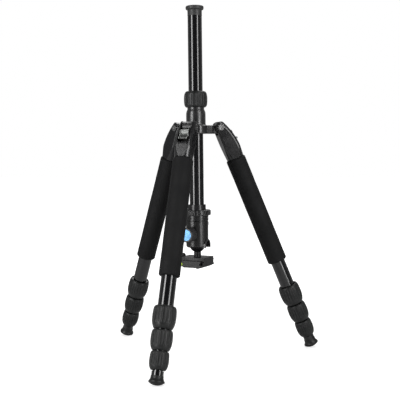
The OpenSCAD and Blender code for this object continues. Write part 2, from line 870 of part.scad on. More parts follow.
// Ring, fluted disc and the plug that holds them in the column
platform_plug_len = 16;
disc_round = 2;
stud_d = 9.5;
module head_platform() {
    color([0.13, 0.13, 0.135])
        difference() {
            union() {
                translate([0, 0, ring_top_z - cut])
                    cylinder(r = column_bore_r - pin_gap, h = platform_plug_len + cut);
                translate([0, 0, disc_top_z])
                    cylinder(r1 = ring_d / 2, r2 = ring_d / 2 - cap_step, h = ring_h);
                translate([0, 0, disc_bottom_z])
                    rotate_extrude()
                        drum_outline(disc_d / 2, disc_h, disc_round);
            }
            translate([0, 0, disc_bottom_z])
                flutes(disc_d / 2, disc_h, disc_flutes);
            translate([0, 0, disc_bottom_z - cut])
                cylinder(
                    d = stud_d + 2 * pin_gap, h = ring_top_z + platform_plug_len - disc_bottom_z + 2 * cut
                );
        }
}

// Threaded stud that holds the head on the platform, with its hex head inside the column
stud_head_d = 17;
stud_head_h = 6;
module head_stud() {
    color([0.7, 0.7, 0.71])
        difference() {
            union() {
                translate([0, 0, pan_base_z + cut])
                    cylinder(d = stud_d, h = ring_top_z + platform_plug_len - pan_base_z);
                translate([0, 0, ring_top_z + platform_plug_len + pin_gap])
                    cylinder(d = stud_head_d, h = stud_head_h, $fn = 6);
            }
            translate([0, 0, ring_top_z + platform_plug_len + stud_head_h / 2])
                cylinder(d = stud_d / 2, h = stud_head_h, $fn = 6);
        }
}

// Panning base with a bevelled scale edge and the spindle that carries the housing
base_d = 39.4;
base_bevel = 0.8;
spindle_d = 15;
spindle_len = 8;
groove_depth = 0.6;
groove_h = 1;
module pan_base() {
    color([0.1, 0.1, 0.105])
        difference() {
            union() {
                translate([0, 0, pan_base_z + base_bevel])
                    cylinder(d = base_d, h = pan_base_h - base_bevel);
                translate([0, 0, pan_base_z])
                    cylinder(r1 = base_d / 2 - base_bevel, r2 = base_d / 2, h = base_bevel);
                translate([0, 0, pan_base_z - spindle_len])
                    cylinder(d = spindle_d, h = spindle_len + cut);
            }
            translate([0, 0, pan_base_z])
                cylinder(d = stud_d + 2 * pin_gap, h = pan_base_h + cut);
            translate([0, 0, pan_base_z + pan_base_h / 2])
                pipe(base_d, base_d / 2 - groove_depth, groove_h);
        }
}

// Housing: round body, ball socket, drop notch with its raised rim, and knob holes
housing_round = 3.2;
socket_r = ball_d / 2 + ball_gap;
cup_room_h = 14;
knob_shaft_d = 8;
pan_shaft_d = 5;
pan_knob_z = housing_top_z - pan_knob_d / 2 - pan_gap;
notch_w = stem_d + 2 * notch_gap;
module head_housing() {
    shell_r = housing_d / 2;
    rim_w = notch_w + 4 * notch_rim;
    color([0.1, 0.1, 0.1])
        in_head()
            difference() {
                union() {
                    translate([0, 0, housing_z])
                        rotate_extrude()
                            union() {
                                drum_outline(shell_r, housing_h / 2, housing_round);
                                translate([0, housing_h / 3])
                                    square([shell_r, housing_h - housing_h / 3]);
                            }
                    intersection() {
                        translate([0, 0, ball_z])
                            rotate([0, 90, 0])
                                cylinder(d = rim_w, h = shell_r + notch_rim);
                        translate([-cut, -rim_w / 2 - cut, housing_z])
                            cube([shell_r + notch_rim + 2 * cut, rim_w + 2 * cut, rim_w]);
                    }
                    translate([0, -rim_w / 2, housing_z])
                        cube([shell_r + notch_rim, rim_w, ball_inset]);
                }
                translate([0, 0, ball_z])
                    sphere(r = socket_r);
                translate([0, 0, ball_z])
                    cylinder(r = socket_r, h = cup_room_h);
                translate([0, 0, ball_z])
                    rotate([0, 90, 0])
                        cylinder(d = notch_w, h = shell_r + notch_rim + cut);
                translate([0, -notch_w / 2, housing_z - cut])
                    cube([shell_r + notch_rim + cut, notch_w, ball_inset + cut]);
                translate([0, 0, knob_z])
                    rotate([90, 0, 0])
                        cylinder(d = knob_shaft_d + 2 * pin_gap, h = shell_r + cut);
                translate([0, 0, pan_knob_z])
                    rotate([-90, 0, 0])
                        cylinder(d = pan_shaft_d + 2 * pin_gap, h = shell_r + cut);
                translate([0, 0, pan_base_z - spindle_len - pan_gap])
                    cylinder(d = spindle_d + 2 * pan_gap, h = spindle_len + pan_gap + cut);
            }
}

// Seat ring that the main knob presses on the ball
module pressure_cup() {
    cup_z = ball_z + ball_d / 4;
    cup_h = ball_z + cup_room_h - cup_z - pan_gap;
    color([0.8, 0.78, 0.7])
        in_head()
            difference() {
                translate([0, 0, cup_z])
                    cylinder(r = socket_r - pan_gap, h = cup_h);
                translate([0, 0, ball_z])
                    sphere(r = socket_r);
            }
}

// Ball with its stem as one piece, and the spigot that is pressed into the clamp
spigot_share = 0.6;
module ball() {
    color([0.16, 0.16, 0.165])
        in_head() {
            translate([0, 0, ball_z])
                sphere(d = ball_d, $fn = 96);
            translate([0, 0, clamp_top_z])
                cylinder(d = stem_d, h = stem_reach - ball_d / 4);
            translate([0, 0, clamp_top_z - spigot_share * clamp_web])
                cylinder(d = spigot_share * stem_d, h = clamp_web);
        }
}

// Fluted knob on its shaft, along -y of the head
module main_knob() {
    knob_root = knob_reach - knob_len;
    disc_recess = 1;
    knob_round = 2;
    hub_share = 0.62;
    color([0.08, 0.08, 0.085])
        in_head()
            translate([0, 0, knob_z])
                rotate([90, 0, 0])
                    difference() {
                        union() {
                            translate([0, 0, knob_root])
                                rotate_extrude()
                                    drum_outline(knob_d / 2, knob_len, knob_round);
                            translate([0, 0, housing_d / 2 + pan_gap])
                                cylinder(d = hub_share * knob_d, h = knob_len / 2);
                            translate([0, 0, knob_shaft_d])
                                cylinder(d = knob_shaft_d, h = knob_root);
                        }
                        translate([0, 0, knob_root])
                            flutes(knob_d / 2, knob_len, flute_count);
                        translate([0, 0, knob_reach - disc_recess])
                            cylinder(d = knob_disc_d, h = disc_recess + cut);
                    }
}

module main_knob_disc() {
    disc_recess = 1;
    disc_fit = 0.05;
    color([0.45, 0.75, 0.95])
        in_head()
            translate([0, 0, knob_z])
                rotate([90, 0, 0])
                    translate([0, 0, knob_reach - disc_recess])
                        cylinder(d = knob_disc_d - 2 * disc_fit, h = disc_recess);
}

module pan_knob() {
    root = housing_d / 2 + pan_gap;
    knob_round = 1.2;
    pan_flutes = 14;
    color([0.08, 0.08, 0.085])
        in_head()
            translate([0, 0, pan_knob_z])
                rotate([-90, 0, 0])
                    difference() {
                        union() {
                            translate([0, 0, root])
                                rotate_extrude()
                                    drum_outline(pan_knob_d / 2, pan_knob_reach - root, knob_round);
                            translate([0, 0, spindle_d / 2 + pan_gap + cut])
                                cylinder(d = pan_shaft_d, h = root - spindle_d / 2);
                        }
                        translate([0, 0, root])
                            flutes(pan_knob_d / 2, pan_knob_reach - root, pan_flutes);
                    }
}

// Dovetail values shared by the jaws and the plate
flank = 2.8;
plate_land = 1.2;
plate_t = 10;
rebate = 2.1;
jaw_wall = 2.2;
plate_top_z = clamp_under_z - dovetail_gap;
jaw_in = plate_w / 2 + dovetail_gap;
jaw_split = -jaw_in + flank + dovetail_gap;
clamp_screw_d = 5;
screw_z = clamp_top_z - clamp_web / 2;
rod_d = 2.6;
rod_share = 0.3;
screw_engage = jaw_travel + 4 * cut;

// Inner outline of one jaw in the x-z plane, seen along the dovetail, for the +x side
module jaw_hook(outer_x) {
    polygon([
        [jaw_in, clamp_under_z + cut],
        [jaw_in, clamp_under_z - plate_land - dovetail_gap],
        [jaw_in - flank, clamp_under_z - plate_land - dovetail_gap - flank],
        [jaw_in - flank, jaw_tip_z],
        [outer_x, jaw_tip_z],
        [outer_x, clamp_under_z + cut]
    ]);
}

module along_dovetail(len) {
    translate([0, len / 2, 0])
        rotate([90, 0, 0])
            linear_extrude(height = len)
                children();
}

// Clamp web with the fixed jaw on +x
module clamp_body() {
    jaw_out = jaw_in + jaw_wall;
    color([0.09, 0.09, 0.095])
        in_head()
            difference() {
                union() {
                    along_dovetail(clamp_len)
                        translate([jaw_split + dovetail_gap, clamp_under_z])
                            square([jaw_out - jaw_split - dovetail_gap, clamp_web]);
                    along_dovetail(clamp_len)
                        jaw_hook(jaw_out);
                }
                translate([jaw_split, 0, screw_z])
                    rotate([0, 90, 0])
                        cylinder(d = clamp_screw_d + 2 * pin_gap, h = screw_engage + cut);
                for (side = [-1, 1])
                    translate([jaw_split, side * rod_share * clamp_len, screw_z])
                        rotate([0, 90, 0])
                            cylinder(d = rod_d + 2 * pin_gap, h = plate_w / 2, center = true);
                translate([0, 0, clamp_top_z - spigot_share * clamp_web - pin_gap])
                    cylinder(d = spigot_share * stem_d + 2 * pin_gap, h = clamp_web);
            }
}

// Sliding jaw with its two guide rods
jaw_block = 6.5;
jaw_out_x = -jaw_in - jaw_block;
module clamp_jaw() {
    color([0.09, 0.09, 0.095])
        in_head()
            difference() {
                union() {
                    along_dovetail(clamp_len)
                        translate([jaw_out_x, clamp_under_z])
                            square([jaw_split - jaw_out_x, clamp_web]);
                    along_dovetail(clamp_len)
                        mirror([1, 0])
                            jaw_hook(-jaw_out_x);
                    for (side = [-1, 1])
                        translate([jaw_out_x + jaw_wall, side * rod_share * clamp_len, screw_z])
                            rotate([0, 90, 0])
                                cylinder(d = rod_d, h = jaw_split - jaw_out_x + jaw_travel);
                    intersection() {
                        translate([bubble_x, -clamp_len / 2, bubble_z])
                            rotate([-90, 0, 0])
                                cylinder(r = bubble_d / 2 + 2 * bubble_wall, h = bubble_len + bubble_wall);
                        union() {
                            translate([-plate_w - jaw_in, -clamp_len, jaw_tip_z - bubble_d])
                                cube([plate_w, clamp_len, 3 * bubble_d]);
                            translate([-plate_w - jaw_in + rebate, -clamp_len, jaw_tip_z - bubble_d])
                                cube([plate_w, clamp_len, bubble_d + jaw_depth / 4]);
                        }
                    }
                }
                translate([jaw_out_x, 0, screw_z])
                    rotate([0, 90, 0])
                        cylinder(d = clamp_screw_d + 2 * pin_gap, h = 3 * jaw_block, center = true);
                bubble_pocket(bubble_d);
            }
}

// Round pocket in a boss on the end of the sliding jaw, for the bubble level
bubble_len = 7;
bubble_wall = 0.6;
bubble_drop_share = 0.88;
bubble_x = -jaw_in + rebate - bubble_wall - bubble_d / 2;
bubble_z = clamp_under_z - bubble_drop_share * jaw_depth;
module bubble_pocket(d) {
    translate([bubble_x, -clamp_len / 2 - cut, bubble_z])
        rotate([-90, 0, 0])
            cylinder(d = d, h = bubble_len + cut);
}

module bubble_level() {
    bubble_fit = 0.05;
    stand = 0.6;
    color([0.75, 0.95, 0.2])
        in_head()
            translate([bubble_x, -clamp_len / 2 - stand, bubble_z])
                rotate([-90, 0, 0])
                    cylinder(d = bubble_d - 2 * bubble_fit, h = bubble_len + stand - bubble_fit);
}

module clamp_knob() {
    clamp_flutes = 16;
    knob_round = 1.5;
    color([0.08, 0.08, 0.085])
        in_head()
            translate([jaw_out_x - pan_gap, 0, screw_z])
                rotate([0, -90, 0])
                    difference() {
                        union() {
                            rotate_extrude()
                                drum_outline(clamp_knob_d / 2, clamp_knob_len, knob_round);
                            translate([0, 0, jaw_out_x - pan_gap - jaw_split - screw_engage])
                                cylinder(d = clamp_screw_d, h = jaw_split + screw_engage - jaw_out_x + cut);
                        }
                        flutes(clamp_knob_d / 2, clamp_knob_len, clamp_flutes);
                    }
}

module release_plate() {
    w = plate_w / 2;
    color([0.1, 0.1, 0.105])
        in_head()
            difference() {
                along_dovetail(plate_len)
                    polygon([
                        [-w, plate_top_z],
                        [-w, plate_top_z - plate_land],
                        [-w + flank, plate_top_z - plate_land - flank],
                        [-w + flank, jaw_tip_z - dovetail_gap],
                        [-w + rebate, jaw_tip_z - dovetail_gap - plate_land / 2],
                        [-w + rebate, plate_top_z - plate_t],
                        [w, plate_top_z - plate_t],
                        [w, jaw_tip_z - dovetail_gap - plate_land / 2],
                        [w - flank, jaw_tip_z - dovetail_gap],
                        [w - flank, plate_top_z - plate_land - flank],
                        [w, plate_top_z - plate_land],
                        [w, plate_top_z]
                    ]);
                translate([0, 0, plate_top_z - plate_t - cut])
                    cylinder(d = camera_screw_d + 2 * pin_gap, h = plate_t + 2 * cut);
                translate([0, 0, plate_top_z - screw_head_h - dovetail_gap])
                    cylinder(d = screw_head_d + 2 * dovetail_gap, h = screw_head_h + dovetail_gap + cut);
            }
}

module plate_pad() {
    color([0.06, 0.06, 0.06])
        in_head()
            difference() {
                translate([0, 0, plate_top_z - plate_t - pad_t])
                    linear_extrude(height = pad_t)
                        rounded_rectangle(plate_w - 2 * jaw_wall, plate_len - 2 * jaw_wall, jaw_wall);
                translate([0, 0, plate_top_z - plate_t - pad_t - cut])
                    cylinder(d = camera_screw_d + 2 * dovetail_gap, h = pad_t + 2 * cut);
            }
}

// Camera screw with a coin slot in its head, captive in the plate
screw_head_d = 15;
screw_head_h = 4;
screw_neck_d = 4.7;
thread_start = 0.3;
module camera_screw() {
    slot = 1.6;
    head_z = plate_top_z - screw_head_h;
    shank_end = plate_top_z - plate_t - pad_t - camera_screw_show;
    color([0.7, 0.7, 0.71])
        in_head()
            difference() {
                union() {
                    translate([0, 0, head_z])
                        cylinder(d = screw_head_d, h = screw_head_h - dovetail_gap);
                    translate([0, 0, shank_end])
                        cylinder(d = camera_screw_d, h = camera_screw_show - thread_start);
                    translate([0, 0, shank_end + cut])
                        cylinder(d = screw_neck_d, h = head_z - shank_end);
                }
                translate([-screw_head_d, -slot / 2, plate_top_z - screw_head_h / 2])
                    cube([2 * screw_head_d, slot, screw_head_h]);
            }
}

shoulder(0);  // front_shoulder
angle_lock(0);  // front_angle_lock
leg_tube(0, 0);  // front_tube_1
foam_grip(0);  // front_foam_grip
twist_lock(0, 0);  // front_twist_lock_1
leg_tube(0, 1);  // front_tube_2
twist_lock(0, 1);  // front_twist_lock_2
leg_tube(0, 2);  // front_tube_3
twist_lock(0, 2);  // front_twist_lock_3
leg_tube(0, 3);  // front_tube_4
foot(0);  // front_foot
shoulder(1);  // right_shoulder
angle_lock(1);  // right_angle_lock
leg_tube(1, 0);  // right_tube_1
foam_grip(1);  // right_foam_grip
twist_lock(1, 0);  // right_twist_lock_1
leg_tube(1, 1);  // right_tube_2
twist_lock(1, 1);  // right_twist_lock_2
leg_tube(1, 2);  // right_tube_3
twist_lock(1, 2);  // right_twist_lock_3
leg_tube(1, 3);  // right_tube_4
foot(1);  // right_foot
shoulder(2);  // left_shoulder
angle_lock(2);  // left_angle_lock
leg_tube(2, 0);  // left_tube_1
foam_grip(2);  // left_foam_grip
twist_lock(2, 0);  // left_twist_lock_1
leg_tube(2, 1);  // left_tube_2
twist_lock(2, 1);  // left_twist_lock_2
leg_tube(2, 2);  // left_tube_3
twist_lock(2, 2);  // left_twist_lock_3
leg_tube(2, 3);  // left_tube_4
foot(2);  // left_foot
spider();
pivot_bolts();
column_bush();
column_collar();
column_long_tube();
column_joiner();
column_short_tube();
column_cap();
head_platform();
head_stud();
pan_base();
head_housing();
pressure_cup();
main_knob();
main_knob_disc();
pan_knob();
ball();
clamp_body();
clamp_jaw();
clamp_knob();
bubble_level();
release_plate();
plate_pad();
camera_screw();
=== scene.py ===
"""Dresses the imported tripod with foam, rubber, anodised and cast finishes in a plain studio."""

import json
import math

import bpy
import numpy as np
from bpy.props import FloatProperty, FloatVectorProperty, IntProperty, PointerProperty
from mathutils import Matrix, Vector


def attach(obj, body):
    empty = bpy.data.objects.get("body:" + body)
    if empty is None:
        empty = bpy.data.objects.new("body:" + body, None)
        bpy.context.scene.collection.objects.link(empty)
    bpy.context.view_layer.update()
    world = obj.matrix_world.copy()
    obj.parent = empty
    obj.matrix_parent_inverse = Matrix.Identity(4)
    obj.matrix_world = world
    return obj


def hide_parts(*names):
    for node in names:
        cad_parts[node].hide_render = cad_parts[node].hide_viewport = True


bl_info = {
    "name": "Travel Tripod Dressing",
    "version": (1, 0, 0),
    "blender": (4, 5, 0),
    "location": "View3D > Sidebar > Tripod",
    "description": "Adds the foam, feet, knob faces, bubble level and finishes of a travel tripod",
    "category": "Object",
}

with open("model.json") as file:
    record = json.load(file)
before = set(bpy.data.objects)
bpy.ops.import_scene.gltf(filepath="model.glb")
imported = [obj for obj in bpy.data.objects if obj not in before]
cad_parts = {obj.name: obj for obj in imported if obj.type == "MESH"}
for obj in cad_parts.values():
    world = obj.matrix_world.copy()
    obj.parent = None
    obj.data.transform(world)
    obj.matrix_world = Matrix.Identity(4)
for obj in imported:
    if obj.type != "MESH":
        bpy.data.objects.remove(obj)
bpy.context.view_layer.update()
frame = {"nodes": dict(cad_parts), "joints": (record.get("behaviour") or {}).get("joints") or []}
LEGS = ("front", "right", "left")
JOINTS = {joint["name"]: joint for joint in frame["joints"]}
TURN = 2 * math.pi
SHARP_ANGLE = math.radians(40)

# The fitted view in degrees: down, aside, rolled, and round the tripod from the front leg.
VIEW_PITCH, VIEW_PAN, VIEW_ROLL, VIEW_BEARING = 3.60, 0.2145, -0.674, 18.11
TOWARDS_CAMERA = (0.311, -0.951, 0)
FLOOR_REACH = 8.0
# Each lamp's name, distance, azimuth from the camera's side, height, width and length, power.
LAMPS = (
    ("Left strip", 1.5, -50, 0.6, (0.42, 1.7), 25),
    ("Right strip", 1.5, 44, 0.75, (0.36, 1.9), 22),
    ("Top soft box", 1.1, 170, 1.8, (1.2, 1.2), 20),
)
LAMP_AIM = Vector((0, 0, 0.3))


# ---------------------------------------------------------------- places read from the frame


def unit(vector):
    """A vector's direction, with a length of one."""
    vector = np.asarray(vector, float)
    return vector / np.linalg.norm(vector)


def basis(axis):
    """Two unit vectors square to an axis, as the rows of an array, with the axis last."""
    axis = unit(axis)
    side = np.cross(axis, (0, 0, 1)) if abs(axis[2]) < 0.9 else np.cross(axis, (0, 1, 0))
    side = unit(side)
    return np.array([side, np.cross(axis, side), axis])


def vertices_of(node):
    """The vertices of a CAD node's mesh, one to a row."""
    mesh = frame["nodes"][node].data
    flat = np.empty(len(mesh.vertices) * 3, np.float32)
    mesh.vertices.foreach_get("co", flat)
    return flat.reshape(-1, 3).astype(float)


def span(node, point, axis):
    """Lowest and highest station of a CAD node along an axis, and its largest radius about it."""
    axis = unit(axis)
    offset = vertices_of(node) - np.asarray(point, float)
    along = offset @ axis
    radius = np.linalg.norm(offset - along[:, None] * axis, axis=1)
    return along.min(), along.max(), radius.max()


def hinge_line(joint):
    """A point on a hinge and its direction."""
    return np.array(JOINTS[joint]["pos_m"], float), np.array(JOINTS[joint]["axis"], float)


# ---------------------------------------------------------------- surfaces


def grid_faces(rows, columns, last):
    """Four-sided faces between each of the first rows and the next, each row being a ring."""
    row, column = np.meshgrid(np.arange(last), np.arange(columns), indexing="ij")
    ahead, beside = (row + 1) % rows, (column + 1) % columns
    corners = ((row, column), (row, beside), (ahead, beside), (ahead, column))
    return np.stack([r * columns + c for r, c in corners], axis=-1).reshape(-1, 4)


def torus(points):
    """Points and blocks of faces of a grid that closes on itself both ways."""
    rows, columns = points.shape[:2]
    return points.reshape(-1, 3), [grid_faces(rows, columns, rows)]


def capped(points):
    """Points and blocks of faces of a stack of rings, closed at both ends.

    The mean of the first ring and the mean of the last are the poles.
    """
    rows, columns = points.shape[:2]
    coords = np.vstack([points.reshape(-1, 3), points[0].mean(0), points[-1].mean(0)])
    ring = np.arange(columns)
    after = (ring + 1) % columns
    low, high = np.full(columns, rows * columns), np.full(columns, rows * columns + 1)
    final = (rows - 1) * columns
    bottom = np.stack([low, after, ring], axis=-1)
    top = np.stack([high, ring + final, after + final], axis=-1)
    return coords, [grid_faces(rows, columns, rows - 1), bottom, top]


def piece(name, shells, body):
    """Makes one smooth-shaded mesh of closed shells, each its points and its blocks of faces."""
    faces, start = [], 0
    for points, blocks in shells:
        for block in blocks:
            faces += (block + start).tolist()
        start += len(points)
    mesh = bpy.data.meshes.new(name)
    mesh.from_pydata(np.vstack([points for points, _ in shells]).tolist(), [], faces)
    mesh.update()
    mesh.polygons.foreach_set("use_smooth", np.ones(len(mesh.polygons), bool))
    mesh.set_sharp_from_angle(angle=SHARP_ANGLE)
    made = bpy.data.objects.new(name, mesh)
    bpy.context.scene.collection.objects.link(made)
    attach(made, body)
    return made


def spun(profile, point, axis, columns, radius=None):
    """Rings of a profile of (radius, station) pairs about an axis.

    Each point is the axis point, plus station times the axis, plus radius times the unit vector
    at an even angle. radius, if given, changes each radius with its station and angle.
    """
    profile = np.asarray(profile, float)
    side, other, forward = basis(axis)
    angle = np.linspace(0, TURN, columns, endpoint=False)
    r = np.repeat(profile[:, :1], columns, axis=1)
    z = np.repeat(profile[:, 1:], columns, axis=1)
    if radius is not None:
        r = radius(r, z, angle[None, :])
    round_it = np.cos(angle)[:, None] * side + np.sin(angle)[:, None] * other
    return np.asarray(point, float) + z[..., None] * forward + r[..., None] * round_it


def arc(centre_r, centre_z, radius, start, end, count):
    """Points of an arc in the (radius, station) plane, from one angle to another in degrees.

    Each radius is the centre's plus the arc's radius times the cosine of an even angle, and each
    station is the centre's plus the arc's radius times the sine.
    """
    angle = np.radians(np.linspace(start, end, count))
    return np.stack([centre_r + radius * np.cos(angle), centre_z + radius * np.sin(angle)], axis=1)


# ---------------------------------------------------------------- finishes


def add_node(tree, kind, inputs=(), **settings):
    """Adds a shader node. An input given as a socket is linked, and any other is a constant."""
    made = tree.nodes.new(kind)
    for name, value in settings.items():
        setattr(made, name, value)
    for name, value in dict(inputs).items():
        if isinstance(value, bpy.types.NodeSocket):
            tree.links.new(value, made.inputs[name])
        else:
            made.inputs[name].default_value = value
    return made


def ranged(tree, value, low, high, to_low, to_high, **settings):
    """A value taken from one range to another."""
    return add_node(
        tree, "ShaderNodeMapRange",
        {"Value": value, "From Min": low, "From Max": high, "To Min": to_low, "To Max": to_high},
        **settings,
    ).outputs["Result"]


def empty_tree(owner):
    """The node tree of a material or world, with nothing in it."""
    owner.use_nodes = True
    owner.node_tree.nodes.clear()
    return owner.node_tree


class Finish:
    """A material with a Principled shader and short ways to add patterns to it.

    The plain colour and roughness hold until a pattern is linked to them. Other sockets of the
    shader are named with underscores for their spaces.
    """

    def __init__(self, name, colour, roughness, metallic=0.0, **sockets):
        self.material = bpy.data.materials.new(name)
        self.tree = empty_tree(self.material)
        self.shader = self.node("ShaderNodeBsdfPrincipled", {
            "Base Color": (*colour, 1), "Roughness": roughness, "Metallic": metallic,
            **{socket.replace("_", " "): value for socket, value in sockets.items()},
        })
        self.node("ShaderNodeOutputMaterial", {"Surface": self.shader.outputs["BSDF"]})
        self.coords = self.node("ShaderNodeTexCoord").outputs["Object"]
        self.normal = None

    def node(self, kind, inputs=(), **settings):
        """Adds a shader node to the material."""
        return add_node(self.tree, kind, inputs, **settings)

    def mapped(self, point, axis, scale=(1, 1, 1)):
        """Object coordinates about a point, turned so that z runs along an axis, then scaled."""
        turn = Matrix([list(row) for row in basis(axis)]).transposed().to_euler()
        return self.node(
            "ShaderNodeMapping",
            {"Vector": self.coords, "Location": tuple(point), "Rotation": tuple(turn),
             "Scale": tuple(1 / size for size in scale)},
            vector_type="TEXTURE",
        ).outputs[0]

    def noise(self, scale, detail=3.0, vector=None):
        """Smooth noise from 0 to 1, on Object coordinates unless others are given."""
        return self.node(
            "ShaderNodeTexNoise",
            {"Vector": vector or self.coords, "Scale": scale, "Detail": detail},
        ).outputs["Fac"]

    def cells(self, scale, feature="F1"):
        """Distances in a cell pattern: to the cells' centres, or with another feature to edges."""
        return self.node(
            "ShaderNodeTexVoronoi", {"Vector": self.coords, "Scale": scale}, feature=feature
        ).outputs["Distance"]

    def spread(self, value, low, high, to_low, to_high):
        """A pattern's value taken from one range to another."""
        return ranged(self.tree, value, low, high, to_low, to_high)

    def colours(self, factor, first, second):
        """Mixes two colours by a factor."""
        mix = self.node("ShaderNodeMix", data_type="RGBA")
        self.tree.links.new(factor, mix.inputs["Factor"])
        mix.inputs["A"].default_value = (*first, 1)
        mix.inputs["B"].default_value = (*second, 1)
        colour = next(socket for socket in mix.outputs if socket.type == "RGBA")
        self.tree.links.new(colour, self.shader.inputs["Base Color"])

    def rough(self, value):
        """Takes a pattern for the roughness."""
        self.tree.links.new(value, self.shader.inputs["Roughness"])

    def mottle(self, scale, low, high, detail=3.0):
        """Lets the roughness wander between two values."""
        self.rough(self.spread(self.noise(scale, detail), 0.3, 0.7, low, high))

    def shade_with(self, normal):
        """Takes a normal for the shader, and for the next bump to build on."""
        self.normal = normal
        self.tree.links.new(normal, self.shader.inputs["Normal"])

    def soften(self, radius):
        """Rounds the shading of sharp edges."""
        made = self.node("ShaderNodeBevel", {"Radius": radius}, samples=4)
        self.shade_with(made.outputs["Normal"])

    def bump(self, height, distance, strength):
        """Raises the surface by a pattern, on top of any earlier normal."""
        made = self.node(
            "ShaderNodeBump", {"Height": height, "Distance": distance, "Strength": strength}
        )
        if self.normal is not None:
            self.tree.links.new(self.normal, made.inputs["Normal"])
        self.shade_with(made.outputs["Normal"])

    def grain(self, scale, distance, strength, detail=3.0):
        """Raises the surface by fine noise."""
        self.bump(self.noise(scale, detail), distance, strength)

    def paint(self, *nodes):
        """Gives the material to CAD nodes by name, or to objects."""
        for name in nodes:
            mesh = (frame["nodes"][name] if isinstance(name, str) else name).data
            mesh.materials.clear()
            mesh.materials.append(self.material)


def leg_nodes(*parts):
    """The names of the same parts of all the legs."""
    return [f"{leg}_{part}" for leg in LEGS for part in parts]


# ---------------------------------------------------------------- settings


class StageSettings(bpy.types.PropertyGroup):
    """Camera and floor."""

    camera_place: FloatVectorProperty(
        name="Camera", description="Where the camera stands", subtype="TRANSLATION",
        unit="LENGTH", default=(0.4471, -1.3670, 0.3597),
    )
    lens: FloatProperty(
        name="Lens", description="Focal length in millimetres", default=74.98, unit="CAMERA"
    )
    floor_colour: FloatVectorProperty(
        name="Floor", description="Colour of the floor", subtype="COLOR", default=(0.6, 0.6, 0.6)
    )


class FoamSettings(bpy.types.PropertyGroup):
    """Foam grips on the upper legs."""

    colour: FloatVectorProperty(
        name="Colour", description="Colour of the foam", subtype="COLOR",
        default=(0.0045, 0.0045, 0.0048),
    )
    end_round: FloatProperty(
        name="End round", description="Rounding of the foam ends", default=0.0026, unit="LENGTH"
    )


class TripodSettings(bpy.types.PropertyGroup):
    """Sizes and colours of the dressing."""

    stage: PointerProperty(
        name="Stage", description="Camera and floor", type=StageSettings
    )
    foam: PointerProperty(
        name="Foam", description="Foam grips on the upper legs", type=FoamSettings
    )
    disc_colour: FloatVectorProperty(
        name="Knob disc", description="Colour of the anodised disc", subtype="COLOR",
        default=(0.105, 0.25, 0.43),
    )
    bubble_colour: FloatVectorProperty(
        name="Bubble level", description="Colour of the level's liquid", subtype="COLOR",
        default=(0.62, 0.9, 0.05),
    )
    tread_rings: IntProperty(
        name="Tread rings", description="Rings on each sole", default=4, min=0
    )


def settings():
    """The dressing's settings in this scene."""
    return bpy.context.scene.tripod


# ---------------------------------------------------------------- operators


class TRIPOD_OT_foam(bpy.types.Operator):
    """Lays a rounded foam sleeve on the upper tube of each leg"""

    bl_idname = "tripod.foam"
    bl_label = "Foam grips"

    def execute(self, context):
        chosen = settings().foam
        for leg in LEGS:
            point, axis = hinge_line(f"{leg}_twist_1_turn")
            shell = self.sleeve(leg, point, axis, chosen.end_round)
            foam = piece(f"{leg}_foam", [shell], f"{leg}_leg")
            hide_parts(f"{leg}_foam_grip")
        finish = Finish("Closed cell foam", tuple(chosen.colour), 0.75, Specular_IOR_Level=0.2)
        finish.grain(1500, 0.00008, 0.5, detail=4.0)
        finish.bump(finish.cells(2600), 0.00004, 0.4)
        finish.mottle(35, 0.68, 0.82, detail=4.0)
        finish.paint(*[bpy.data.objects[f"{leg}_foam"] for leg in LEGS])
        return {"FINISHED"}

    def sleeve(self, leg, point, axis, edge):
        """A tube whose outside is straight between two quarter circles, with slow ripples.

        Foam is never quite round, so the outside sinks by 0.05 mm times two plus two sines. One
        runs twice round the sleeve with 61 radians a metre along it, the other three times round
        the other way with 143 radians a metre.
        """
        low, high, outer = span(f"{leg}_foam_grip", point, axis)
        thickness, ripple_height = 0.0045, 0.00005
        bore = outer - thickness
        rise = np.linspace(low + edge, high - edge, 140)[1:-1]
        profile = np.vstack([
            [[bore, low + edge], [bore, low]],
            arc(outer - edge, low + edge, edge, -90, 0, 9),
            np.stack([np.full_like(rise, outer), rise], axis=1),
            arc(outer - edge, high - edge, edge, 0, 90, 9),
            [[bore, high], [bore, high - edge]],
        ])

        def swell(r, z, angle):
            ripple = np.sin(61 * z + 2 * angle) + np.sin(143 * z - 3 * angle)
            return r - (r > bore + 0.0001) * ripple_height * (2 + ripple)

        return torus(spun(profile, point, axis, 96, swell))


